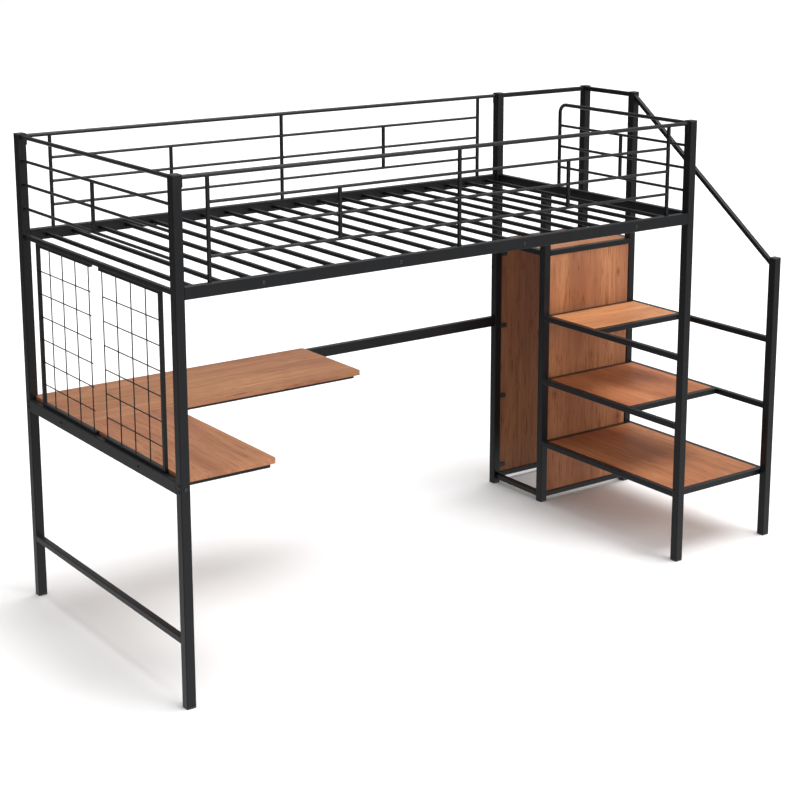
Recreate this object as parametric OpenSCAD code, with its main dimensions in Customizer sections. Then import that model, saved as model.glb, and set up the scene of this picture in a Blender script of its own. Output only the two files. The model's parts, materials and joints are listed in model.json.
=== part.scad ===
// Loft bed with an L-shaped desk below, an open wardrobe and box stairs at its right end.
// Millimetres. X runs along the bed, Y from the open front to the back, Z up.
// Origin: on the floor, below the middle of the whole. Inside the modules, lengths are
// counted from the front left corner of the front left post, and centred() moves them.

/* [Overall] */
// bed length over the posts
bed_l = 1950; // [1700:1:2200]
// bed width over the posts
bed_w = 1041; // [900:1:1600]
// height of the post tops with their caps
total_h = 1537; // [1350:1:1900]
// length of the stair and wardrobe block beyond the bed
annex_l = 434; // [350:1:650]
// depth of the wardrobe at the back
wardrobe_d = 303; // [250:1:420]
// height of the stair post with its cap
stair_post_h = 1022; // [950:1:1150]

/* [Posts] */
// side of the square posts
post_s = 30; // [25:1:40]
// wall of the posts
post_wall = 1.5; // [1:0.1:3]
// corner radius of the posts
post_r = 3; // [1:0.5:6]
// thickness of the top cap flange
cap_t = 3; // [2:0.5:6]
// overhang of the cap flange past the post
cap_lip = 0.6; // [0:0.1:2]
// thickness of the foot pad
foot_t = 5; // [3:0.5:10]
// depth of the plugs inside the posts
plug_d = 14; // [8:1:30]
// gap between plug and post wall
plug_gap = 0.3; // [0.1:0.05:0.8]

/* [Bed frame] */
// bottom of the bed rails above the floor
bed_z = 1192; // [1000:1:1450]
// height of the bed rails
rail_h = 37; // [30:1:60]
// thickness of the bed rails
rail_t = 20; // [18:1:30]
// wall of the rails
rail_wall = 1.5; // [1:0.1:3]
// corner radius of the rails
rail_r = 2; // [1:0.5:5]
// side of the small left end tube
end_tube = 15; // [12:1:25]
// height of the left end tube above the rail bottom
end_tube_up = 10; // [0:1:18]
// number of slats in each of the four groups
slats_per_group = 5; // [3:1:6]
// distance between slat centres
slat_pitch = 94; // [70:1:120]
// centre of the first slat from the left
slat_start = 90; // [50:1:150]
// side of the square slats
slat_s = 12; // [10:1:20]
// height of the slats above the rail bottom
slat_up = 11; // [2:1:18]
// wall of the slats
slat_wall = 1.2; // [0.8:0.1:2]

/* [Guards] */
// drop from the post top to the guard rail centre
guard_drop = 10; // [8:1:40]
// diameter of the guard top rails
guard_d = 13; // [12:0.5:25]
// wall of the guard top rails
guard_wall = 1.2; // [0.8:0.1:2]
// distance between guard rods
rod_pitch = 75.5; // [50:0.5:85]
// diameter of the guard rods
rod_d = 9.5; // [5:0.5:12]
// side of the square guard bars
bar_s = 9; // [7:0.5:16]
// distance between guard bars
bar_pitch = 430; // [300:1:460]
// height of the rail end plates
plate_h = 34; // [25:1:50]
// width of the rail end plates
plate_w = 18; // [12:1:26]
// thickness of the rail end plates
plate_t = 5; // [3:0.5:8]
// centre of the free leg of the stair side guard from the front
leg_y = 672; // [500:1:690]
// bend radius of the stair side guard
guard_bend = 31.5; // [20:0.5:60]

/* [Landing rails and handrail] */
// side of the landing guard rails and the handrail
land_rail_s = 16; // [12:1:25]
// drop of the landing guard below the caps
land_rail_drop = 0; // [0:0.5:20]
// handrail centre below the tops of the posts it joins
hand_drop = 22; // [15:1:60]

/* [Desk] */
// top of the desk level rails above the floor
desk_rail_z = 674; // [620:1:760]
// height of the desk level rails
desk_rail_h = 38; // [30:1:60]
// height of the desk top above the desk level rails
desk_up = 11; // [5:1:16]
// thickness of all the boards
board_t = 15; // [12:1:25]
// right end of the back board from the left of the bed
desk_len = 1045; // [800:1:1400]
// front edge of the back board
desk_front_y = 648; // [550:1:750]
// right edge of the side board
side_board_x = 320; // [280:1:450]
// front edge of the side board
side_board_y = 14; // [8:1:40]
// corner radius of the boards
board_r = 12; // [4:1:40]
// side of the desk frame tubes
desk_tube = 16; // [12:1:25]
// inset of the desk frames from the board ends
desk_inset = 13; // [5:1:60]
// inset of the back frame from the board front
desk_front_inset = 25; // [5:1:60]
// underside of the floor brace above the floor
brace_z = 192; // [100:1:350]
// side of the square floor brace
brace_s = 20; // [15:1:27]

/* [Grid panels] */
// side of the thick bars of the grids
grid_bar = 11; // [8:0.5:15]
// diameter of the grid wires
wire_d = 3.6; // [3:0.1:6]
// distance between upright wires
wire_pitch_y = 91; // [60:1:110]
// distance between level wires
wire_pitch_z = 73.6; // [50:0.1:76]
// first level wire above the lower bar centre
wire_first = 66; // [30:1:80]
// number of upright wires in a panel
wires_up = 4; // [2:1:4]
// number of level wires in a panel
wires_level = 6; // [3:1:6]
// outer bar centre from the middle of the bed end
grid_reach = 405; // [370:1:440]
// inner end of the thick bars from the middle
grid_gap = 30; // [15:1:42]

/* [Stairs and wardrobe] */
// rise of each step
rise = 244; // [200:1:270]
// side of the step and wardrobe frame tubes
step_tube = 20; // [15:1:27]
// depth of the upper tread with its frame
tread_1 = 278; // [200:1:340]
// depth of the middle tread with its frame
tread_2 = 471; // [400:1:560]
// bottom of the wardrobe base rails above the floor
base_z = 18; // [8:1:80]
// thickness of the wardrobe panels
panel_t = 12; // [9:1:18]
// recess of the panels behind the post faces
panel_in = 4; // [2:0.5:7]
// gap around the boards and panels
board_gap = 1; // [0.5:0.1:3]
// width of the straps below the boards
strap_w = 25; // [15:1:40]
// thickness of the straps
strap_t = 3; // [2:0.5:5]

/* [Fasteners] */
// radius of the bolt shanks
bolt_r = 3; // [2:0.1:4]
// radius of the bolt heads
head_r = 5.5; // [4:0.1:8]
// height of the bolt heads
head_h = 3; // [2:0.1:5]
// gap round the bolt shanks
bolt_gap = 0.3; // [0.1:0.05:0.6]
// length of the bolt shanks past the face
bolt_l = 26; // [10:1:40]
// distance of the desk level bolts in the posts from the rail's middle
bolt_step = 9; // [8:0.5:14]
// width of the panel brackets
clip_w = 30; // [15:1:50]
// height of the panel brackets
clip_h = 14; // [8:1:30]
// depth of the panel brackets
clip_d = 7; // [4:0.5:11]

/* [Build] */
// node to draw

/* [Hidden] */
$fn = 48;
half = post_s / 2;
x_end = bed_l + annex_l;
y_w = bed_w - wardrobe_d;
x_wl = bed_l - rail_t;
x_step = x_wl + step_tube;
desk_x0 = max(rail_t, half + grid_bar / 2) + board_gap;
mid_x = (x_end + cap_lip - head_h) / 2;
mid_y = bed_w / 2;
rail_top = bed_z + rail_h;
slat_count = 4 * slats_per_group;
slat_z = bed_z + slat_up;
end_tube_z = bed_z + end_tube_up;
guard_z = total_h - guard_drop;
rod_z = [guard_z - rod_pitch, guard_z - 2 * rod_pitch, guard_z - 3 * rod_pitch];
desk_rail_b = desk_rail_z - desk_rail_h;
desk_top = desk_rail_z + desk_up;
desk_under = desk_top - board_t;
desk_tube_z = desk_under - desk_tube;
back_in = bed_w - rail_t;
step_z = [rise * 3, rise * 2, rise];
land_z = rise * 4;
land_b = land_z - step_tube;
frame_y0 = desk_front_y + desk_front_inset;
panel_front_y = y_w + panel_in;
panel_back_y = bed_w - panel_in - panel_t;
tread_3 = y_w - post_s;
treads = [tread_1, tread_2, tread_3];
base_top = base_z + step_tube;
bolt_x = [for (g = [0:3]) slat_start + slat_pitch * (g * slats_per_group + floor(slats_per_group / 2))];
desk_bolt_y = [bed_w / 2 - bed_w / 4, bed_w / 2 + bed_w / 4];
desk_bolt_z = desk_rail_z - desk_rail_h / 2;
post_bolt_z = [desk_bolt_z - bolt_step, desk_bolt_z + bolt_step];
post_bolt_l = half - bolt_r - 1;
clip_z = [base_top + 30, base_top + 312, base_top + 594, land_z - step_tube - 40];

// ---- shared shapes ----

// moves a sub-part so that the origin is on the floor below the middle of the whole
module centred() {
  translate([-mid_x, -mid_y, 0]) children();
}

// flat rectangle with round corners, from the origin
module round_rect(w, h, r) {
  translate([r, 0]) square([w - 2 * r, h]);
  translate([0, r]) square([w, h - 2 * r]);
  for (x = [r, w - r], y = [r, h - r]) translate([x, y]) circle(r);
}

// section of a rectangular tube, from the origin
module tube_section(w, h, wall, r) {
  difference() {
    round_rect(w, h, r);
    translate([wall, wall]) round_rect(w - 2 * wall, h - 2 * wall, max(r - wall, 0.4));
  }
}

// rectangular tube along X, with its low corner at p
module tube_x(p, len, w, h, wall, r) {
  translate(p) rotate([90, 0, 90]) linear_extrude(height = len) tube_section(w, h, wall, r);
}

// rectangular tube along Y, with its low corner at p
module tube_y(p, len, w, h, wall, r) {
  translate([p[0], p[1] + len, p[2]]) rotate([90, 0, 0])
    linear_extrude(height = len) tube_section(w, h, wall, r);
}

// plain square frame tube along X or Y
module frame_x(x0, x1, y, z, s) {
  tube_x([x0, y, z], x1 - x0, s, s, rail_wall, rail_r);
}
module frame_y(y0, y1, x, z, s) {
  tube_y([x, y0, z], y1 - y0, s, s, rail_wall, rail_r);
}

// round bar along X, Y or Z by its centre line
module rod_x(x0, x1, y, z, d) {
  translate([x0, y, z]) rotate([0, 90, 0]) cylinder(h = x1 - x0, d = d);
}
module rod_y(y0, y1, x, z, d) {
  translate([x, y1, z]) rotate([90, 0, 0]) cylinder(h = y1 - y0, d = d);
}
module rod_up(x, y, z0, z1, d) {
  translate([x, y, z0]) cylinder(h = z1 - z0, d = d);
}

// square bar standing on its centre line
module bar_up(x, y, z0, z1) {
  translate([x - bar_s / 2, y - bar_s / 2, z0]) cube([bar_s, bar_s, z1 - z0]);
}

// board with round corners, from corner a to corner b, its top at z
module board(a, b, z, r) {
  translate([a[0], a[1], z - board_t]) linear_extrude(height = board_t)
    round_rect(b[0] - a[0], b[1] - a[1], r);
}

// room that a post takes out of a board
module post_room(x, y) {
  translate([x - board_gap, y - board_gap, 0])
    cube([post_s + 2 * board_gap, post_s + 2 * board_gap, total_h]);
}

// ---- posts ----

// hollow post with its low corner at x, y, up to the height top
module post(x, y, top) {
  translate([x, y, foot_t]) linear_extrude(height = top - foot_t)
    tube_section(post_s, post_s, post_wall, post_r);
}

// hole for a bolt along X or Y, from the face into the tube
module bolt_hole_x(p, len) {
  translate([p[0] - 1, p[1], p[2]]) rotate([0, 90, 0]) cylinder(h = len + 1, r = bolt_r + bolt_gap);
}
module bolt_hole_y(p, len) {
  translate([p[0], p[1] + len, p[2]]) rotate([90, 0, 0]) cylinder(h = len + 1, r = bolt_r + bolt_gap);
}

// the two bolt holes at desk level in a left post
module left_post_holes(y) {
  for (z = post_bolt_z) bolt_hole_x([0, y + half, z], post_wall + 2);
}

module post_front_left() {
  color("dimgray") centred() difference() {
    post(0, 0, total_h - cap_t);
    left_post_holes(0);
    bolt_hole_y([half, 0, desk_bolt_z], post_wall + 2);
  }
}
module post_back_left() {
  color("dimgray") centred() difference() {
    post(0, bed_w - post_s, total_h - cap_t);
    left_post_holes(bed_w - post_s);
  }
}
module post_front_right() {
  color("dimgray") centred() post(bed_l - post_s, 0, total_h - cap_t);
}
module post_back_right() {
  color("dimgray") centred() post(bed_l - post_s, bed_w - post_s, total_h - cap_t);
}
module post_wardrobe_left() {
  color("dimgray") centred() post(x_wl, y_w, bed_z);
}
module post_wardrobe_front() {
  color("dimgray") centred() post(x_end - post_s, y_w, total_h - cap_t);
}
module post_wardrobe_back() {
  color("dimgray") centred() post(x_end - post_s, bed_w - post_s, total_h - cap_t);
}
module post_stair() {
  color("dimgray") centred() post(x_end - post_s, 0, stair_post_h - cap_t);
}

// plug that fills the inside of a post
module plug(x, y, z, len) {
  i = post_wall + plug_gap;
  translate([x + i, y + i, z]) linear_extrude(height = len)
    round_rect(post_s - 2 * i, post_s - 2 * i, max(post_r - i, 0.5));
}

// top cap: flange and plug
module cap(x, y, top) {
  translate([x - cap_lip, y - cap_lip, top - cap_t]) linear_extrude(height = cap_t)
    round_rect(post_s + 2 * cap_lip, post_s + 2 * cap_lip, post_r + cap_lip);
  plug(x, y, top - cap_t - plug_d, plug_d);
}
module post_caps() {
  color("black") centred() {
    for (x = [0, bed_l - post_s], y = [0, bed_w - post_s]) cap(x, y, total_h);
    for (y = [y_w, bed_w - post_s]) cap(x_end - post_s, y, total_h);
    cap(x_end - post_s, 0, stair_post_h);
  }
}

// foot pad: pad and plug
module foot(x, y) {
  translate([x, y, 0]) linear_extrude(height = foot_t) round_rect(post_s, post_s, post_r);
  plug(x, y, foot_t, plug_d);
}
module foot_pads() {
  color("black") centred() {
    for (x = [0, bed_l - post_s], y = [0, bed_w - post_s]) foot(x, y);
    for (y = [0, y_w, bed_w - post_s]) foot(x_end - post_s, y);
    foot(x_wl, y_w);
  }
}

// ---- bed frame ----

// side rail with its outer face at y, holes for the slat bolts right through
module side_rail(y) {
  difference() {
    tube_x([post_s, y, bed_z], bed_l - 2 * post_s, rail_t, rail_h, rail_wall, rail_r);
    for (x = bolt_x) bolt_hole_y([x, y, slat_z + slat_s / 2], rail_t + 1);
  }
}
module side_rail_front() {
  color("dimgray") centred() side_rail(0);
}
module side_rail_back() {
  color("dimgray") centred() side_rail(bed_w - rail_t);
}
module end_rail_left() {
  color("dimgray") centred() tube_y([half - end_tube / 2, post_s, end_tube_z], bed_w - 2 * post_s,
    end_tube, end_tube, rail_wall, rail_r);
}
module end_rail_right() {
  color("dimgray") centred() tube_y([bed_l - rail_t, post_s, bed_z], bed_w - 2 * post_s,
    rail_t, rail_h, rail_wall, rail_r);
}

// one group of slats between the side rails
module slat_group(g) {
  for (i = [0:slats_per_group - 1]) {
    tube_y([slat_start + slat_pitch * (g * slats_per_group + i) - slat_s / 2, rail_t, slat_z],
      bed_w - 2 * rail_t, slat_s, slat_s, slat_wall, 1.5);
  }
}
module slats_1() {
  color("dimgray") centred() slat_group(0);
}
module slats_2() {
  color("dimgray") centred() slat_group(1);
}
module slats_3() {
  color("dimgray") centred() slat_group(2);
}
module slats_4() {
  color("dimgray") centred() slat_group(3);
}

// ---- guards ----

// long guard on the line y between the end posts
module long_guard(y) {
  mid = bed_l / 2;
  difference() {
    union() {
      rod_x(post_s, bed_l - post_s, y, guard_z, guard_d);
      for (x = [post_s, bed_l - post_s - plate_t])
        translate([x, y - plate_w / 2, total_h - cap_t - plate_h]) cube([plate_t, plate_w, plate_h]);
      for (k = [-2, 0, 2]) bar_up(mid + k * bar_pitch, y, rail_top, guard_z);
      for (k = [-1, 1]) bar_up(mid + k * bar_pitch, y, rod_z[2], rod_z[0]);
      for (z = rod_z) rod_x(mid - 2 * bar_pitch, mid + 2 * bar_pitch, y, z, rod_d);
    }
    rod_x(post_s + plate_t, bed_l - post_s - plate_t, y, guard_z, guard_d - 2 * guard_wall);
  }
}
module guard_front() {
  color("dimgray") centred() long_guard(half);
}
module guard_back() {
  color("dimgray") centred() long_guard(bed_w - half);
}

// guard at the left end, from post to post
module guard_left_end() {
  color("dimgray") centred() difference() {
    union() {
      rod_y(post_s, bed_w - post_s, half, guard_z, guard_d);
      for (z = rod_z) rod_y(post_s, bed_w - post_s, half, z, rod_d);
      bar_up(half, bed_w / 2, rod_z[2], rod_z[0]);
    }
    rod_y(post_s + 2, bed_w - post_s - 2, half, guard_z, guard_d - 2 * guard_wall);
  }
}

// guard at the stair end, bent down to the end rail beside the way in
module guard_stair_end() {
  x = bed_l - half;
  color("dimgray") centred() difference() {
    union() {
      rod_y(post_s, leg_y - guard_bend, x, guard_z, guard_d);
      translate([x, leg_y - guard_bend, guard_z - guard_bend]) rotate([90, 0, 90])
        rotate_extrude(angle = 90) translate([guard_bend, 0]) circle(d = guard_d);
      rod_up(x, leg_y, rail_top, guard_z - guard_bend, guard_d);
      for (z = rod_z) rod_y(post_s, leg_y, x, z, rod_d);
      bar_up(x, (post_s + leg_y) / 2, rod_z[2], rod_z[0]);
    }
    rod_y(post_s + 2, leg_y - guard_bend, x, guard_z, guard_d - 2 * guard_wall);
    translate([x, leg_y - guard_bend, guard_z - guard_bend]) rotate([90, 0, 90])
      rotate_extrude(angle = 90) translate([guard_bend, 0]) circle(d = guard_d - 2 * guard_wall);
    rod_up(x, leg_y, rail_top + 2, guard_z - guard_bend, guard_d - 2 * guard_wall);
  }
}

module landing_guard_back() {
  color("dimgray") centred() frame_x(bed_l, x_end - post_s, bed_w - half - land_rail_s / 2,
    total_h - cap_t - land_rail_drop - land_rail_s, land_rail_s);
}
module landing_guard_side() {
  color("dimgray") centred() frame_y(y_w + post_s, bed_w - post_s, x_end - half - land_rail_s / 2,
    total_h - cap_t - land_rail_drop - land_rail_s, land_rail_s);
}

// sloping handrail, trimmed to the two posts
module handrail() {
  z_hi = total_h - hand_drop;
  z_lo = stair_post_h - hand_drop;
  run = y_w - post_s;
  tilt = atan((z_hi - z_lo) / run);
  reach = run / cos(tilt);
  color("dimgray") centred() intersection() {
    translate([x_end - half, post_s, z_lo]) rotate([tilt, 0, 0]) translate([0, reach + 40, 0])
      rotate([90, 0, 0]) linear_extrude(height = reach + 80)
        translate([-land_rail_s / 2, -land_rail_s / 2])
          tube_section(land_rail_s, land_rail_s, rail_wall, rail_r);
    translate([x_end - post_s, post_s, 0]) cube([post_s, run, total_h]);
  }
}

// ---- desk ----

module desk_rail_left() {
  color("dimgray") centred() difference() {
    tube_y([0, post_s, desk_rail_b], bed_w - 2 * post_s, rail_t, desk_rail_h, rail_wall, rail_r);
    for (y = desk_bolt_y) bolt_hole_x([0, y, desk_bolt_z], rail_t / 2);
  }
}
module desk_rail_back() {
  color("dimgray") centred() tube_x([post_s, back_in, desk_rail_b], bed_l - 2 * post_s,
    rail_t, desk_rail_h, rail_wall, rail_r);
}
module floor_brace() {
  color("dimgray") centred() frame_y(post_s, bed_w - post_s, 0, brace_z, brace_s);
}

// rectangular tube frame from corner a to corner b
module tube_frame(a, b, z, s) {
  frame_x(a[0], b[0], a[1], z, s);
  frame_x(a[0], b[0], b[1] - s, z, s);
  for (x = [a[0], b[0] - s]) frame_y(a[1] + s, b[1] - s, x, z, s);
}
module desk_frame_back() {
  color("dimgray") centred() {
    tube_frame([post_s, frame_y0], [desk_len - desk_inset, back_in], desk_tube_z, desk_tube);
    frame_y(frame_y0 + desk_tube, back_in - desk_tube, (post_s + desk_len) / 2, desk_tube_z, desk_tube);
  }
}
module desk_frame_side() {
  color("dimgray") centred() tube_frame([rail_t, post_s], [side_board_x - desk_inset, frame_y0],
    desk_tube_z, desk_tube);
}
module desk_board_back() {
  color("peru") centred() difference() {
    union() {
      board([desk_x0, desk_front_y], [desk_len, back_in - board_gap], desk_top, board_r);
      board([desk_x0, desk_front_y], [desk_x0 + 59, back_in - board_gap], desk_top, 2);
    }
    post_room(0, bed_w - post_s);
  }
}
module desk_board_side() {
  color("peru") centred() difference() {
    union() {
      board([desk_x0, side_board_y], [side_board_x, desk_front_y - board_gap],
        desk_top, board_r);
      board([desk_x0, side_board_y + 60], [side_board_x, desk_front_y - board_gap],
        desk_top, 2);
      board([desk_x0, side_board_y], [desk_x0 + 59, side_board_y + 90], desk_top, 2);
    }
    post_room(0, 0);
  }
}

// ---- grid panels ----

// grid panel on the side given by s: -1 front, 1 back
module grid_panel(s) {
  mid = bed_w / 2;
  z0 = desk_rail_z;
  z1 = end_tube_z;
  y_out = mid + s * grid_reach;
  y_in = mid + s * grid_gap;
  bars_y0 = min(y_out - s * grid_bar / 2, y_in);
  bars_y1 = max(y_out - s * grid_bar / 2, y_in);
  in_y = mid + s * wire_pitch_y / 2;
  x0 = half - grid_bar / 2;
  translate([x0, y_out - grid_bar / 2, z0]) cube([grid_bar, grid_bar, z1 - z0]);
  for (z = [z0, z1 - grid_bar])
    translate([x0, bars_y0 - 0.01, z]) cube([grid_bar, bars_y1 - bars_y0 + 0.02, grid_bar]);
  for (k = [0:wires_up - 1])
    rod_up(half - wire_d * 0.42, mid + s * wire_pitch_y * (k + 0.5), z0 + grid_bar / 2,
      z1 - grid_bar / 2, wire_d);
  for (k = [0:wires_level - 1])
    rod_y(min(in_y, y_out) - wire_d * 0.5, max(in_y, y_out) + wire_d * 0.5,
      half + wire_d * 0.42, z0 + grid_bar / 2 + wire_first + wire_pitch_z * k, wire_d);
}
module grid_panel_front() {
  color("dimgray") centred() grid_panel(-1);
}
module grid_panel_back() {
  color("dimgray") centred() grid_panel(1);
}

// ---- wardrobe and landing ----

module landing_rail_front() {
  color("dimgray") centred() frame_x(x_wl + post_s, x_end - post_s, y_w, land_b, step_tube);
}
module landing_rail_back() {
  color("dimgray") centred() frame_x(bed_l, x_end - post_s, bed_w - step_tube, land_b, step_tube);
}
module landing_rail_left() {
  color("dimgray") centred() frame_y(y_w + post_s, bed_w - post_s, x_wl, land_b, step_tube);
}
module landing_rail_right() {
  color("dimgray") centred() frame_y(y_w + post_s, bed_w - post_s, x_end - step_tube, land_b, step_tube);
}
module base_rail_front() {
  color("dimgray") centred() frame_x(x_wl + post_s, x_end - post_s, y_w, base_z, step_tube);
}
module base_rail_back() {
  color("dimgray") centred() frame_x(bed_l, x_end - post_s, bed_w - step_tube, base_z, step_tube);
}
module base_rail_left() {
  color("dimgray") centred() frame_y(y_w + post_s, bed_w - post_s, x_wl, base_z, step_tube);
}
module base_rail_right() {
  color("dimgray") centred() frame_y(y_w + post_s, bed_w - post_s, x_end - step_tube, base_z, step_tube);
}

// flat straps that carry a board, between the two side tubes
module straps(y0, y1, z) {
  for (y = [y0 + (y1 - y0) / 4, y1 - (y1 - y0) / 4])
    translate([x_step, y - strap_w / 2, z - board_t - strap_t])
      cube([x_end - step_tube - x_step, strap_w, strap_t]);
}
module landing_straps() {
  color("dimgray") centred() {
    straps(y_w + step_tube, bed_w - step_tube, land_z);
  }
}
module landing_board() {
  color("peru") centred() difference() {
    board([x_step + board_gap, y_w + step_tube + board_gap],
      [x_end - step_tube - board_gap, bed_w - step_tube - board_gap], land_z, 1.5);
    post_room(x_wl, y_w);
    for (y = [y_w, bed_w - post_s]) post_room(x_end - post_s, y);
  }
}

// upright wood panel with its front face at y, between x0 and x1
module panel(x0, x1, y) {
  translate([x0 + board_gap, y, base_top + board_gap])
    cube([x1 - x0 - 2 * board_gap, panel_t, land_b - base_top - 2 * board_gap]);
}
module wardrobe_panel_front() {
  color("peru") centred() panel(x_wl + post_s, x_end - post_s, panel_front_y);
}
module wardrobe_panel_back() {
  color("peru") centred() panel(bed_l, x_end - post_s, panel_back_y);
}

// brackets inside the wardrobe that hold the panels to the posts
module bracket(x, y, z) {
  translate([x, y, z - clip_h / 2]) cube([clip_w, clip_d, clip_h]);
}
module panel_brackets() {
  color("black") centred() for (z = clip_z) {
    bracket(bed_l, panel_back_y - clip_d, z);
    bracket(x_end - post_s - clip_w, panel_back_y - clip_d, z);
    bracket(x_wl + post_s, panel_front_y + panel_t, z);
    bracket(x_end - post_s - clip_w, panel_front_y + panel_t, z);
  }
}

// ---- stairs ----

// step frame: two side tubes, two cross tubes and two straps
module step_frame(k) {
  z = step_z[k] - step_tube;
  y_f = y_w - treads[k];
  for (x = [x_wl, x_end - step_tube]) {
    frame_y(post_s, y_w, x, z, step_tube);
  }
  for (y = [y_f, y_w - step_tube])
    frame_x(x_step, x_end - step_tube, y, z, step_tube);
  straps(y_f + step_tube, y_w - step_tube, step_z[k]);
}
module tread(k) {
  board([x_step + board_gap, y_w - treads[k] + step_tube + board_gap],
    [x_end - step_tube - board_gap, y_w - step_tube - board_gap], step_z[k], 1.5);
}
module step_frame_upper() {
  color("dimgray") centred() step_frame(0);
}
module step_frame_middle() {
  color("dimgray") centred() step_frame(1);
}
module step_frame_lower() {
  color("dimgray") centred() step_frame(2);
}
module tread_upper() {
  color("peru") centred() tread(0);
}
module tread_middle() {
  color("peru") centred() tread(1);
}
module tread_lower() {
  color("peru") centred() tread(2);
}

// ---- bolts ----

// button head bolt pointing along +Z from a face at the origin
module bolt(len) {
  difference() {
    translate([0, 0, -head_h]) intersection() {
      cylinder(h = head_h, r = head_r);
      translate([0, 0, head_r * 1.15]) sphere(r = head_r * 1.3);
    }
    translate([0, 0, -head_h - 1]) cylinder(h = 2.6, r = 2.2, $fn = 6);
  }
  cylinder(h = len, r = bolt_r);
}
module rail_bolts() {
  z = slat_z + slat_s / 2;
  color("dimgray") centred() {
    for (x = bolt_x) {
      translate([x, 0, z]) rotate([-90, 0, 0]) bolt(bolt_l);
      translate([x, bed_w, z]) rotate([90, 0, 0]) bolt(bolt_l);
    }
    for (y = desk_bolt_y) translate([0, y, desk_bolt_z]) rotate([0, 90, 0]) bolt(rail_t / 2 - 2);
    for (y = [half, bed_w - half], z = post_bolt_z) translate([0, y, z]) rotate([0, 90, 0]) bolt(post_bolt_l);
    translate([half, 0, desk_bolt_z]) rotate([-90, 0, 0]) bolt(post_bolt_l);
  }
}

post_front_left();
post_back_left();
post_front_right();
post_back_right();
post_wardrobe_left();
post_wardrobe_front();
post_wardrobe_back();
post_stair();
post_caps();
foot_pads();
side_rail_front();
side_rail_back();
end_rail_left();
end_rail_right();
slats_1();
slats_2();
slats_3();
slats_4();
guard_front();
guard_back();
guard_left_end();
guard_stair_end();
landing_guard_back();
landing_guard_side();
handrail();
desk_rail_left();
desk_rail_back();
floor_brace();
desk_frame_back();
desk_frame_side();
desk_board_back();
desk_board_side();
grid_panel_front();
grid_panel_back();
landing_rail_front();
landing_rail_back();
landing_rail_left();
landing_rail_right();
base_rail_front();
base_rail_back();
base_rail_left();
base_rail_right();
landing_straps();
landing_board();
wardrobe_panel_front();
wardrobe_panel_back();
step_frame_upper();
step_frame_middle();
step_frame_lower();
tread_upper();
tread_middle();
tread_lower();
panel_brackets();
rail_bolts();
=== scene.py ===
"""Looks for the loft bed with desk: black powder-coated steel, wood-grain boards, black plastic parts."""

import json
import math
import random

import bmesh
import bpy
from mathutils import Euler, Matrix, Vector


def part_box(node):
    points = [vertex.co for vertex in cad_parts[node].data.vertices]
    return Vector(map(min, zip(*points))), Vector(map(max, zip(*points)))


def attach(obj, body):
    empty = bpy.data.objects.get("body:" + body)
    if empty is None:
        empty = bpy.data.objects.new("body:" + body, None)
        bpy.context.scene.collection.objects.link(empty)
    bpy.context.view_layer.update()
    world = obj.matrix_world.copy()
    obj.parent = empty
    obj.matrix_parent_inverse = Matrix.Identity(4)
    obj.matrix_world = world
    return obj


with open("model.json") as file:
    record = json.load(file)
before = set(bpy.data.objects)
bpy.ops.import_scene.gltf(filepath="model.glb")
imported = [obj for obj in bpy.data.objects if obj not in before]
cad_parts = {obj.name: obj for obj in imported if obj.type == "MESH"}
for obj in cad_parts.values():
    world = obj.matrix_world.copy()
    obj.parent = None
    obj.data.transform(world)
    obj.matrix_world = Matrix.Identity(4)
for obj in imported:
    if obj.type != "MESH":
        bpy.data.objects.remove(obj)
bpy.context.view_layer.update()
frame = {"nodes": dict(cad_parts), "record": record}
NODES = frame["nodes"]
SLOT_OF = {part["node"]: part["material_slot"] for part in frame["record"]["subparts"]}

# main view: place of the camera in metres, angles of its look direction in radians, lens in mm, lens shift
CAMERA_PLACE = (-3.343, -4.5705, 2.2619)
CAMERA_YAW = 0.6202
CAMERA_PITCH = 0.2140
CAMERA_ROLL = 0.0014
SENSOR = 36.0
FOCAL = 77.97
SHIFT_X = 0.0014
SHIFT_Y = -0.16


# ---- node helpers ----

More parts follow.
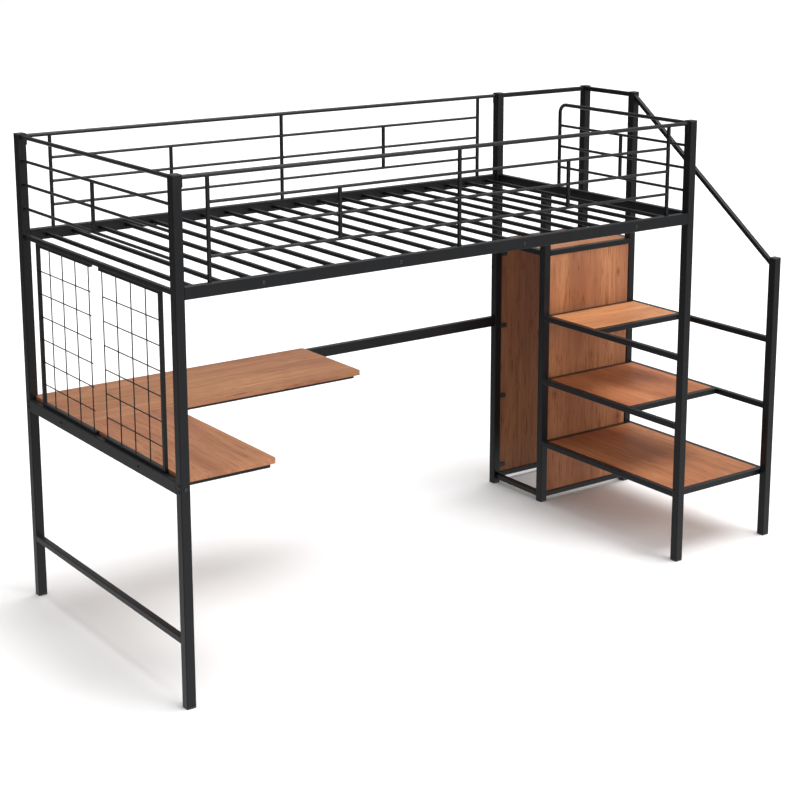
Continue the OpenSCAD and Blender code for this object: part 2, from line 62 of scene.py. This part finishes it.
class Nodes:
    """Adds nodes to a node tree."""

    def __init__(self, tree):
        self.tree = tree

    def new(self, kind, **settings):
        node = self.tree.nodes.new(kind)
        for key, value in settings.items():
            setattr(node, key, value)
        return node

    def link(self, source, target):
        self.tree.links.new(source, target)

    def stretched(self, scale, offset=(0, 0, 0), turn=(0, 0, 0), source=None):
        mapping = self.new("ShaderNodeMapping")
        mapping.inputs["Location"].default_value = offset
        mapping.inputs["Rotation"].default_value = turn
        mapping.inputs["Scale"].default_value = scale
        self.link(source or self.place, mapping.inputs["Vector"])
        return mapping.outputs["Vector"]

    def noise(self, vector, scale, detail, roughness):
        node = self.new("ShaderNodeTexNoise")
        node.inputs["Scale"].default_value = scale
        node.inputs["Detail"].default_value = detail
        node.inputs["Roughness"].default_value = roughness
        self.link(vector, node.inputs["Vector"])
        return node.outputs["Fac"]

    def ramp(self, value, stops):
        node = self.new("ShaderNodeValToRGB")
        elements = node.color_ramp.elements
        while len(elements) < len(stops):
            elements.new(0.5)
        for element, (place, colour) in zip(elements, stops):
            element.position = place
            element.color = colour if len(colour) == 4 else (*colour, 1)
        self.link(value, node.inputs["Fac"])
        return node.outputs["Color"]

    def mix(self, factor, first, second, blend="MIX"):
        node = self.new("ShaderNodeMix", data_type="RGBA", blend_type=blend)
        pairs = ((factor, node.inputs["Factor"]), (first, node.inputs["A"]), (second, node.inputs["B"]))
        for value, socket in pairs:
            if isinstance(value, bpy.types.NodeSocket):
                self.link(value, socket)
            else:
                socket.default_value = value
        return node.outputs["Result"]

    def math(self, operation, first, second=0.0):
        node = self.new("ShaderNodeMath", operation=operation)
        for value, socket in ((first, node.inputs[0]), (second, node.inputs[1])):
            if isinstance(value, bpy.types.NodeSocket):
                self.link(value, socket)
            else:
                socket.default_value = value
        return node.outputs[0]

    def span(self, value, low, high):
        node = self.new("ShaderNodeMapRange")
        node.inputs["To Min"].default_value = low
        node.inputs["To Max"].default_value = high
        self.link(value, node.inputs["Value"])
        return node.outputs["Result"]


class Shader(Nodes):
    """One node material with a Principled shader, patterned in object coordinates."""

    def __init__(self, name):
        self.material = bpy.data.materials.new(name)
        self.material.use_nodes = True
        super().__init__(self.material.node_tree)
        self.body = self.tree.nodes["Principled BSDF"]
        self.place = self.new("ShaderNodeTexCoord").outputs["Object"]

    def set(self, **values):
        for key, value in values.items():
            self.body.inputs[key.replace("_", " ")].default_value = value

    def bump(self, height, strength, distance):
        node = self.new("ShaderNodeBump")
        node.inputs["Strength"].default_value = strength
        node.inputs["Distance"].default_value = distance
        self.link(height, node.inputs["Height"])
        self.link(node.outputs["Normal"], self.body.inputs["Normal"])


# ---- materials ----

def powder_coat():
    """Satin black powder coat: fine orange peel, faint rubbing and dust."""
    s = Shader("powder_coat")
    peel = s.noise(s.place, 620.0, 2.0, 0.55)
    haze = s.noise(s.place, 7.0, 4.0, 0.6)
    rubbed = s.noise(s.stretched((1, 1, 0.35)), 46.0, 5.0, 0.68)
    colour = s.mix(s.span(rubbed, 0.0, 0.45), (0.0056, 0.0061, 0.0074, 1), (0.0124, 0.0130, 0.0148, 1))
    s.link(s.mix(s.span(haze, 0.0, 0.5), colour, (0.0046, 0.0050, 0.0060, 1)), s.body.inputs["Base Color"])
    s.link(s.math("ADD", s.span(haze, 0.24, 0.35), s.span(rubbed, -0.04, 0.06)), s.body.inputs["Roughness"])
    s.bump(peel, 0.16, 0.0004)
    s.set(Specular_IOR_Level=0.34, IOR=1.5)
    return s.material


def bolt_black():
    """Black-coated screw steel, a little glossier than the tubes."""
    s = Shader("bolt_black")
    wear = s.noise(s.place, 380.0, 4.0, 0.7)
    colour = s.ramp(wear, [(0.35, (0.018, 0.018, 0.02)), (0.72, (0.075, 0.075, 0.078))])
    s.link(colour, s.body.inputs["Base Color"])
    s.link(s.span(wear, 0.24, 0.42), s.body.inputs["Roughness"])
    s.bump(wear, 0.12, 0.0002)
    s.set(Metallic=0.45)
    return s.material


def black_plastic():
    """Moulded black plastic with a fine spark-eroded grain."""
    s = Shader("black_plastic")
    grain = s.noise(s.place, 900.0, 2.0, 0.5)
    cloud = s.noise(s.place, 24.0, 3.0, 0.6)
    colour = s.ramp(cloud, [(0.3, (0.014, 0.014, 0.015)), (0.75, (0.026, 0.026, 0.028))])
    s.link(colour, s.body.inputs["Base Color"])
    s.link(s.span(cloud, 0.46, 0.6), s.body.inputs["Roughness"])
    s.bump(grain, 0.3, 0.0004)
    return s.material


# axis along which the grain runs -> turn that brings that axis to X
GRAIN_TURN = {"x": (0, 0, 0), "y": (0, 0, -math.pi / 2), "z": (0, math.pi / 2, 0)}
WOOD_SPECULAR = 0.25
# how far slow noise pushes the grain along each axis, in metres
SWAY = (0.0, 0.11, 0.07)
# cathedral bands: wave texture, how much of it shows, and its tone as a share of the middle tone
BAND_SHAPE = {"Scale": 4.4, "Distortion": 5.5, "Detail": 3.0, "Detail Scale": 0.9}
BAND_SHARE = 0.20
BAND_TONE = 0.6
# a knot: scale along the grain (less than 1 draws it out), how uneven its rings are, how much of it shows
KNOT_LENGTH = 0.55
KNOT_WOBBLE = 0.3
KNOT_SHARE = 0.85
# tints of a knot from its heart outwards, by share of its radius
KNOT_RINGS = ((0.08, (0.26, 0.16, 0.12)), (0.3, (0.62, 0.48, 0.4)), (0.45, (0.95, 0.82, 0.74)),
              (0.62, (0.68, 0.55, 0.48)), (1.0, (1, 1, 1)))


def sway(s, place):
    """The given coordinates, pushed sideways by slow noise so that the grain isn't straight."""
    slow = s.noise(s.stretched((0.9, 3.2, 3.2), source=place), 1.0, 2.0, 0.5)
    swayed = s.new("ShaderNodeVectorMath", operation="MULTIPLY_ADD")
    s.link(slow, swayed.inputs[0])
    swayed.inputs[1].default_value = SWAY
    s.link(place, swayed.inputs[2])
    return swayed.outputs["Vector"]


def cathedral_bands(s, base):
    bands = s.new("ShaderNodeTexWave", bands_direction="Y", wave_profile="SAW")
    for socket, value in BAND_SHAPE.items():
        bands.inputs[socket].default_value = value
    s.link(s.stretched((0.35, 1.0, 1.0), source=base), bands.inputs["Vector"])
    return bands.outputs["Fac"]


def knotted(s, colour, streak, along, centre, size):
    """The colour with one knot in it: rings about the centre, drawn out along the grain."""
    ring = s.new("ShaderNodeVectorMath", operation="DISTANCE")
    s.link(s.stretched((KNOT_LENGTH, 1, 1), source=along), ring.inputs[0])
    ring.inputs[1].default_value = (centre.x * KNOT_LENGTH, centre.y, centre.z)
    uneven = s.span(streak, -size * KNOT_WOBBLE, size * KNOT_WOBBLE)
    distance = s.math("ADD", ring.outputs["Value"], uneven)
    return s.mix(KNOT_SHARE, colour, s.ramp(s.math("DIVIDE", distance, size), KNOT_RINGS), "MULTIPLY")


def wood(name, axis, offset, tones, knots=()):
    """Wood-grain laminate: long streaks, cathedral bands, fine pores and a few knots."""
    s = Shader(name)
    light, mid, dark, glow = tones
    along = s.stretched((1, 1, 1), turn=GRAIN_TURN[axis])
    base = sway(s, s.stretched((1, 1, 1), offset=offset, source=along))
    broad = s.noise(s.stretched((1.3, 9.0, 9.0), source=base), 1.0, 3.0, 0.55)
    streak = s.noise(s.stretched((2.2, 62.0, 62.0), source=base), 1.0, 5.0, 0.62)
    fibre = s.noise(s.stretched((9.0, 420.0, 420.0), source=base), 1.0, 3.0, 0.6)
    pore = s.noise(s.stretched((14.0, 560.0, 560.0), (3.1, 1.7, 0.4), source=base), 1.0, 2.0, 0.5)
    ticks = s.noise(s.stretched((11.0, 190.0, 190.0), (0.7, 4.2, 2.6), source=base), 1.0, 3.0, 0.55)
    warm = s.noise(s.stretched((0.8, 4.5, 4.5), (2.2, 7.3, 5.1), source=base), 1.0, 2.0, 0.5)
    colour = s.ramp(broad, [(0.34, dark), (0.5, mid), (0.64, light)])
    colour = s.mix(s.ramp(warm, [(0.50, (0, 0, 0)), (0.70, (0.6, 0.6, 0.6))]), colour, (*glow, 1))
    colour = s.mix(s.ramp(streak, [(0.42, (0, 0, 0)), (0.66, (0.6, 0.6, 0.6))]), colour, (*dark, 1))
    bands = s.math("MULTIPLY", cathedral_bands(s, base), BAND_SHARE)
    colour = s.mix(bands, colour, (*[c * BAND_TONE for c in mid], 1))
    colour = s.mix(s.span(fibre, -0.05, 0.34), colour, (*light, 1))
    tick_shade = s.ramp(ticks, [(0.57, (1, 1, 1)), (0.67, (0.52, 0.40, 0.34))])
    colour = s.mix(0.8, colour, tick_shade, "MULTIPLY")
    pores = s.ramp(pore, [(0.60, (1, 1, 1)), (0.72, (0.55, 0.47, 0.42))])
    colour = s.mix(0.55, colour, pores, "MULTIPLY")
    for place, size in knots:
        centre = Euler(GRAIN_TURN[axis]).to_matrix() @ Vector(place)
        colour = knotted(s, colour, streak, along, centre, size)
    s.link(colour, s.body.inputs["Base Color"])
    s.link(s.span(streak, 0.36, 0.56), s.body.inputs["Roughness"])
    s.bump(s.math("ADD", s.math("MULTIPLY", fibre, 0.5), s.math("MULTIPLY", pore, 0.5)), 0.22, 0.0004)
    s.set(Specular_IOR_Level=WOOD_SPECULAR)
    return s.material


# the tones of one board: light, middle and dark wood, and the bright orange of its glowing strips
WOOD_TONES = ((0.510, 0.228, 0.106), (0.415, 0.174, 0.078), (0.290, 0.108, 0.048), (0.620, 0.300, 0.125))


# the factor scales one board's tones: partly a tint of its own, partly painted light and shade for where
# the board sits
def board_material(name, axis, offset, factor=(1, 1, 1), knots=()):
    tones = [tuple(c * f for c, f in zip(tone, factor)) for tone in WOOD_TONES]
    return wood(name, axis, offset, tones, knots)


PANEL_LOW, PANEL_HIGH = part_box("wardrobe_panel_front")
PANEL_KNOTS = (
    ((PANEL_LOW.x + 0.033, PANEL_LOW.y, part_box("tread_middle")[1].z - 0.070), 0.015),
    ((PANEL_HIGH.x - 0.032, PANEL_LOW.y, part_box("tread_lower")[1].z + 0.030), 0.018),
    ((PANEL_HIGH.x - 0.050, PANEL_LOW.y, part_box("tread_upper")[1].z + 0.120), 0.012),
)

METAL = powder_coat()
PLASTIC = black_plastic()
SCREW = bolt_black()
BOARDS = {
    # painted shade: both desk boards are darkened for the shade under the bed, with a slight cool tint of
    # their own
    "desk_board_back": board_material("desk_wood_back_painted_shade", "x", (0.3, 0.1, 0.0), (0.84, 0.86, 0.92)),
    "desk_board_side": board_material("desk_wood_side_painted_shade", "y", (1.9, 0.7, 0.2), (0.88, 0.89, 0.98)),
    "landing_board": board_material("landing_wood", "x", (4.3, 0.5, 0.1), (1.0, 0.98, 0.98)),
    "wardrobe_panel_front": board_material("panel_wood_front", "z", (0.2, 2.3, 0.5), (1.0, 0.97, 0.95),
                                           PANEL_KNOTS),
    # painted shade: the back panel's tones are darkened for the shade inside the wardrobe
    "wardrobe_panel_back": board_material("panel_wood_back_painted_shade", "z", (3.7, 1.1, 0.8), (0.66, 0.62, 0.62)),
    # painted light: the upper tread is brightened for the light falling on it; the middle tread is lighter
    # and warmer, partly painted light and partly tint, and the lower tread carries a slight tint
    "tread_upper": board_material("tread_wood_upper_painted_light", "x", (2.5, 0.35, 0.3), (1.28, 1.30, 1.22)),
    "tread_middle": board_material("tread_wood_middle", "y", (5.1, 0.9, 0.3), (1.12, 0.99, 0.92)),
    "tread_lower": board_material("tread_wood_lower", "y", (6.4, 1.6, 0.6), (0.98, 0.9, 0.86)),
}
SLOT_MATERIAL = {"frame_metal": METAL, "black_plastic": PLASTIC, "bolt_metal": SCREW}


# widths of the rounding, in metres
BOARD_ROUND = 0.0009
THIN_ROUND = 0.0006
# edges sharper than this many degrees are rounded
ROUND_ANGLE = 50


def edge_round(obj, width, segments=2):
    """Rounds the sharp edges so that they catch the light."""
    bevel = obj.modifiers.new("edge_round", "BEVEL")
    bevel.width = width
    bevel.segments = segments
    bevel.limit_method = "ANGLE"
    bevel.angle_limit = math.radians(ROUND_ANGLE)
    bevel.harden_normals = True


# thin pieces whose edges the CAD leaves sharp
SHARP_NODES = ("landing_straps", "panel_brackets", "grid_panel_front", "grid_panel_back")

for node_name, obj in NODES.items():
    obj.data.materials.clear()
    obj.data.materials.append(BOARDS.get(node_name) or SLOT_MATERIAL[SLOT_OF[node_name]])
    if node_name in BOARDS:
        edge_round(obj, BOARD_ROUND)
    elif node_name in SHARP_NODES:
        edge_round(obj, THIN_ROUND, 1)


# ---- small parts made here ----

# sizes of the guards in metres, as in the CAD, and the thickness of a weld bead
BAR = 0.009
BAR_PITCH = 0.430
ROD = 0.0095
ROD_PITCH = 0.0755
GUARD_RAIL = 0.013
RAIL_DROP = 0.010
RAIL_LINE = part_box("post_caps")[1].z - RAIL_DROP
BEAD = 0.0011
RAIL_BEAD = BEAD * 1.3
BEAD_SEED = 7


def keep_piece(bm, name, material):
    """Turns a bmesh into a smooth-shaded piece that rides on the frame."""
    mesh = bpy.data.meshes.new(name)
    bm.to_mesh(mesh)
    bm.free()
    mesh.polygons.foreach_set("use_smooth", [True] * len(mesh.polygons))
    mesh.materials.append(material)
    obj = bpy.data.objects.new(name, mesh)
    bpy.context.scene.collection.objects.link(obj)
    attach(obj, "root")
    return obj


def add_bead(bm, centre, axis, radius, thick, rng, around=16, across=6):
    """A weld bead: an uneven ring of the given radius about the axis."""
    turn = Vector((0, 0, 1)).rotation_difference(Vector(axis)).to_matrix()
    rows = []
    swell = rng.uniform(0, math.tau)
    for i in range(around):
        a = math.tau * i / around
        size = thick * (1 + 0.18 * math.sin(3 * a + swell) + rng.uniform(-0.08, 0.08))
        row = []
        for j in range(across):
            b = math.tau * j / across
            r = radius + size * math.cos(b)
            point = Vector((r * math.cos(a), r * math.sin(a), size * math.sin(b)))
            row.append(bm.verts.new(Vector(centre) + turn @ point))
        rows.append(row)
    for i in range(around):
        for j in range(across):
            here, after = rows[i], rows[(i + 1) % around]
            k = (j + 1) % across
            bm.faces.new((here[j], after[j], after[k], here[k]))


def middle_of(name):
    low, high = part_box(name)
    return (low + high) / 2


def long_guard_beads(bm, name, rng):
    """Weld beads where the rods of a long guard meet its upright bars."""
    middle = middle_of(name)
    for k in range(-2, 3):
        x = middle.x + k * BAR_PITCH
        sides = {-2: (1,), 2: (-1,)}.get(k, (-1, 1))
        for level in (1, 2, 3):
            if k in (-1, 1) and level != 2:
                continue
            z = RAIL_LINE - level * ROD_PITCH
            for side in sides:
                add_bead(bm, (x + side * BAR / 2, middle.y, z), (1, 0, 0), ROD / 2, BEAD, rng)


def end_guard_beads(bm, name, stop, rng):
    """Weld beads where the rods of an end guard meet the posts or the bent rail."""
    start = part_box(name)[0].y
    x = middle_of(name).x
    for level in (1, 2, 3):
        z = RAIL_LINE - level * ROD_PITCH
        add_bead(bm, (x, start, z), (0, 1, 0), ROD / 2, BEAD, rng)
        add_bead(bm, (x, stop, z), (0, 1, 0), ROD / 2, BEAD, rng)
    add_bead(bm, (x, start, RAIL_LINE), (0, 1, 0), GUARD_RAIL / 2, RAIL_BEAD, rng)


def weld_beads():
    rng = random.Random(BEAD_SEED)
    bm = bmesh.new()
    for name in ("guard_front", "guard_back"):
        long_guard_beads(bm, name, rng)
    end_guard_beads(bm, "guard_left_end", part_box("guard_left_end")[1].y, rng)
    end_guard_beads(bm, "guard_stair_end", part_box("guard_stair_end")[1].y - GUARD_RAIL, rng)
    return keep_piece(bm, "weld_beads", METAL)


weld_beads()


# ---- floor, light and camera ----

# half the side of the square floor, in metres, and its look
FLOOR_REACH = 30.0
FLOOR_COLOUR = (0.92, 0.92, 0.92, 1)
FLOOR_ROUGHNESS = 0.9
# the room's light: what comes from everywhere, and what each side adds
ROOM_LIGHT = 0.08
FRONT_SHARE = 0.20
RIGHT_SHARE = 0.16
TOP_SHARE = 0.70
FLOOR_SHARE = 0.70
# how far below the horizon the floor's share starts and is full, as the height of a unit vector
FLOOR_START = -0.22
FLOOR_FULL = -0.42
# each sun: the direction that its light comes from, its strength and its spread in degrees
TOP_SUN = ((0.25, -0.10, 1.0), 2.5, 44)
FRONT_SUN = ((0.35, -1.0, 0.45), 1.35, 40)
CLIP_END = 100.0


def stage_material(name, colour, roughness):
    s = Shader(name)
    s.set(Base_Color=colour, Roughness=roughness)
    return s.material


def floor():
    mesh = bpy.data.meshes.new("floor")
    reach = FLOOR_REACH
    corners = [(-reach, -reach, 0), (reach, -reach, 0), (reach, reach, 0), (-reach, reach, 0)]
    mesh.from_pydata(corners, [], [(0, 1, 2, 3)])
    mesh.materials.append(stage_material("pale_floor", FLOOR_COLOUR, FLOOR_ROUGHNESS))
    obj = bpy.data.objects.new("floor", mesh)
    bpy.context.scene.collection.objects.link(obj)
    obj.visible_glossy = False


def sun(name, towards, energy, spread):
    """A soft sun that shines from the direction given."""
    light = bpy.data.lights.new(name, "SUN")
    light.energy = energy
    light.angle = math.radians(spread)
    obj = bpy.data.objects.new(name, light)
    obj.rotation_euler = Vector(towards).to_track_quat("Z", "Y").to_euler()
    bpy.context.scene.collection.objects.link(obj)


def studio_world():
    """White to the camera; to everything else a room that is brighter above, to the right and in front."""
    world = bpy.data.worlds.new("studio")
    world.use_nodes = True
    n = Nodes(world.node_tree)
    axes = n.new("ShaderNodeSeparateXYZ")
    n.link(n.new("ShaderNodeTexCoord").outputs["Generated"], axes.inputs[0])
    x, y, z = axes.outputs
    front_right = n.math("SUBTRACT", n.math("MULTIPLY", x, 0.6), n.math("MULTIPLY", y, 0.8))
    parts = [n.math("MULTIPLY", n.math("MAXIMUM", value), share)
             for value, share in ((front_right, FRONT_SHARE), (x, RIGHT_SHARE), (z, TOP_SHARE))]
    below = n.new("ShaderNodeMapRange", interpolation_type="SMOOTHSTEP")
    limits = {"From Min": FLOOR_START, "From Max": FLOOR_FULL, "To Min": 0.0, "To Max": FLOOR_SHARE}
    for socket, value in limits.items():
        below.inputs[socket].default_value = value
    n.link(z, below.inputs["Value"])
    total = n.math("ADD", below.outputs["Result"], ROOM_LIGHT)
    for part in parts:
        total = n.math("ADD", total, part)
    white = n.mix(n.new("ShaderNodeLightPath").outputs["Is Camera Ray"], total, (1, 1, 1, 1))
    n.link(white, world.node_tree.nodes["Background"].inputs["Color"])
    bpy.context.scene.world = world


def studio():
    studio_world()
    sun("top_light", *TOP_SUN)
    sun("front_light", *FRONT_SUN)
    scene = bpy.context.scene
    scene.view_settings.view_transform = "Standard"
    scene.view_settings.look = "None"


def camera():
    data = bpy.data.cameras.new("camera")
    data.sensor_width = SENSOR
    data.lens = FOCAL
    data.shift_x = SHIFT_X
    data.shift_y = SHIFT_Y
    data.clip_end = CLIP_END
    level = math.cos(CAMERA_PITCH)
    look = Vector((math.sin(CAMERA_YAW) * level, math.cos(CAMERA_YAW) * level, -math.sin(CAMERA_PITCH)))
    right = Vector((math.cos(CAMERA_YAW), -math.sin(CAMERA_YAW), 0))
    up = right.cross(look)
    right_rolled = right * math.cos(CAMERA_ROLL) - up * math.sin(CAMERA_ROLL)
    up_rolled = right * math.sin(CAMERA_ROLL) + up * math.cos(CAMERA_ROLL)
    turn = Matrix((right_rolled, up_rolled, -look)).transposed().to_4x4()
    obj = bpy.data.objects.new("camera", data)
    obj.matrix_world = Matrix.Translation(CAMERA_PLACE) @ turn
    bpy.context.scene.collection.objects.link(obj)
    bpy.context.scene.camera = obj


floor()
studio()
camera()
